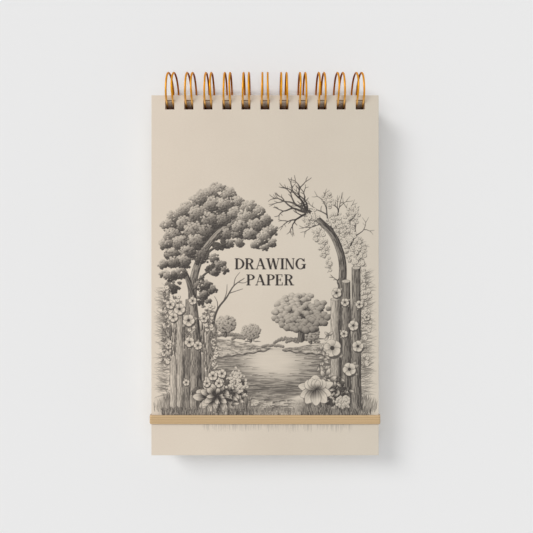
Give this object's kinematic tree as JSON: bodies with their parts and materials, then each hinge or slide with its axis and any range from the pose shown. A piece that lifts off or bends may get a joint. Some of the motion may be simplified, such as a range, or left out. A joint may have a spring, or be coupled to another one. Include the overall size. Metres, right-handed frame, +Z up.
{
  "type": "wire-bound sketchbook",
  "caption": "Portrait wire-bound sketchbook with a nature drawing on its cream cover, twin-loop gold wire along the top edge and an elastic band near the foot.",
  "frame": {"origin": "middle of the footprint, on the surface that the closed book lies on", "axes": "+X across the covers to the reader's right, +Y along the covers towards the wire binding, +Z up, out of the front cover; the covers tilt by 0.8 degrees because the rings are thicker than the book"},
  "size_m": [0.1538, 0.2586, 0.0278],
  "materials": {
    "cover_print": "matt uncoated print in warm grey ink",
    "cover_board": "raw grey-brown board",
    "cover_liner": "matt uncoated",
    "drawing_paper": "fine-toothed drawing paper",
    "gold_wire": "bright gold-coloured coating on steel wire",
    "elastic": "woven elastic with lengthwise ribs"
  },
  "bodies": {
    "back_cover": {"back_cover_print": "cover_print", "back_cover_board": "cover_board", "back_cover_liner": "cover_liner", "wire_binding": "gold_wire"},
    "leaf_20": {"leaf_20": "drawing_paper"},
    "leaf_19": {"leaf_19": "drawing_paper"},
    "leaf_18": {"leaf_18": "drawing_paper"},
    "leaf_17": {"leaf_17": "drawing_paper"},
    "leaf_16": {"leaf_16": "drawing_paper"},
    "leaf_15": {"leaf_15": "drawing_paper"},
    "leaf_14": {"leaf_14": "drawing_paper"},
    "leaf_13": {"leaf_13": "drawing_paper"},
    "leaf_12": {"leaf_12": "drawing_paper"},
    "leaf_11": {"leaf_11": "drawing_paper"},
    "leaf_10": {"leaf_10": "drawing_paper"},
    "leaf_09": {"leaf_09": "drawing_paper"},
    "leaf_08": {"leaf_08": "drawing_paper"},
    "leaf_07": {"leaf_07": "drawing_paper"},
    "leaf_06": {"leaf_06": "drawing_paper"},
    "leaf_05": {"leaf_05": "drawing_paper"},
    "leaf_04": {"leaf_04": "drawing_paper"},
    "leaf_03": {"leaf_03": "drawing_paper"},
    "leaf_02": {"leaf_02": "drawing_paper"},
    "leaf_01": {"leaf_01": "drawing_paper"},
    "front_cover": {"front_cover_print": "cover_print", "front_cover_board": "cover_board", "front_cover_liner": "cover_liner"},
    "elastic_band": {"elastic_band": "elastic"}
  },
  "joints": [
    {"name": "leaf_20_turn", "type": "hinge", "parent": "back_cover", "child": "leaf_20", "pos_m": [0, 0.11543, 0.01391], "axis": [-1, 0, 0], "range_deg": [0, 180]},
    {"name": "leaf_19_turn", "type": "hinge", "parent": "leaf_20", "child": "leaf_19", "pos_m": [0, 0.11543, 0.01391], "axis": [-1, 0, 0], "range_deg": [0, 180]},
    {"name": "leaf_18_turn", "type": "hinge", "parent": "leaf_19", "child": "leaf_18", "pos_m": [0, 0.11543, 0.01391], "axis": [-1, 0, 0], "range_deg": [0, 180]},
    {"name": "leaf_17_turn", "type": "hinge", "parent": "leaf_18", "child": "leaf_17", "pos_m": [0, 0.11543, 0.01391], "axis": [-1, 0, 0], "range_deg": [0, 180]},
    {"name": "leaf_16_turn", "type": "hinge", "parent": "leaf_17", "child": "leaf_16", "pos_m": [0, 0.11543, 0.01391], "axis": [-1, 0, 0], "range_deg": [0, 180]},
    {"name": "leaf_15_turn", "type": "hinge", "parent": "leaf_16", "child": "leaf_15", "pos_m": [0, 0.11543, 0.01391], "axis": [-1, 0, 0], "range_deg": [0, 180]},
    {"name": "leaf_14_turn", "type": "hinge", "parent": "leaf_15", "child": "leaf_14", "pos_m": [0, 0.11543, 0.01391], "axis": [-1, 0, 0], "range_deg": [0, 180]},
    {"name": "leaf_13_turn", "type": "hinge", "parent": "leaf_14", "child": "leaf_13", "pos_m": [0, 0.11543, 0.01391], "axis": [-1, 0, 0], "range_deg": [0, 180]},
    {"name": "leaf_12_turn", "type": "hinge", "parent": "leaf_13", "child": "leaf_12", "pos_m": [0, 0.11543, 0.01391], "axis": [-1, 0, 0], "range_deg": [0, 180]},
    {"name": "leaf_11_turn", "type": "hinge", "parent": "leaf_12", "child": "leaf_11", "pos_m": [0, 0.11543, 0.01391], "axis": [-1, 0, 0], "range_deg": [0, 180]},
    {"name": "leaf_10_turn", "type": "hinge", "parent": "leaf_11", "child": "leaf_10", "pos_m": [0, 0.11543, 0.01391], "axis": [-1, 0, 0], "range_deg": [0, 180]},
    {"name": "leaf_09_turn", "type": "hinge", "parent": "leaf_10", "child": "leaf_09", "pos_m": [0, 0.11543, 0.01391], "axis": [-1, 0, 0], "range_deg": [0, 180]},
    {"name": "leaf_08_turn", "type": "hinge", "parent": "leaf_09", "child": "leaf_08", "pos_m": [0, 0.11543, 0.01391], "axis": [-1, 0, 0], "range_deg": [0, 180]},
    {"name": "leaf_07_turn", "type": "hinge", "parent": "leaf_08", "child": "leaf_07", "pos_m": [0, 0.11543, 0.01391], "axis": [-1, 0, 0], "range_deg": [0, 180]},
    {"name": "leaf_06_turn", "type": "hinge", "parent": "leaf_07", "child": "leaf_06", "pos_m": [0, 0.11543, 0.01391], "axis": [-1, 0, 0], "range_deg": [0, 180]},
    {"name": "leaf_05_turn", "type": "hinge", "parent": "leaf_06", "child": "leaf_05", "pos_m": [0, 0.11543, 0.01391], "axis": [-1, 0, 0], "range_deg": [0, 180]},
    {"name": "leaf_04_turn", "type": "hinge", "parent": "leaf_05", "child": "leaf_04", "pos_m": [0, 0.11543, 0.01391], "axis": [-1, 0, 0], "range_deg": [0, 180]},
    {"name": "leaf_03_turn", "type": "hinge", "parent": "leaf_04", "child": "leaf_03", "pos_m": [0, 0.11543, 0.01391], "axis": [-1, 0, 0], "range_deg": [0, 180]},
    {"name": "leaf_02_turn", "type": "hinge", "parent": "leaf_03", "child": "leaf_02", "pos_m": [0, 0.11543, 0.01391], "axis": [-1, 0, 0], "range_deg": [0, 180]},
    {"name": "leaf_01_turn", "type": "hinge", "parent": "leaf_02", "child": "leaf_01", "pos_m": [0, 0.11543, 0.01391], "axis": [-1, 0, 0], "range_deg": [0, 180]},
    {"name": "front_cover_turn", "type": "hinge", "parent": "leaf_01", "child": "front_cover", "pos_m": [0, 0.11543, 0.01391], "axis": [-1, 0, 0], "range_deg": [0, 180]},
    {"name": "elastic_band_slide", "type": "slide", "parent": "back_cover", "child": "elastic_band", "axis": [0, -0.9999, -0.0139], "range_m": [0, 0.036], "deforming": ["elastic_band"]}
  ]
}
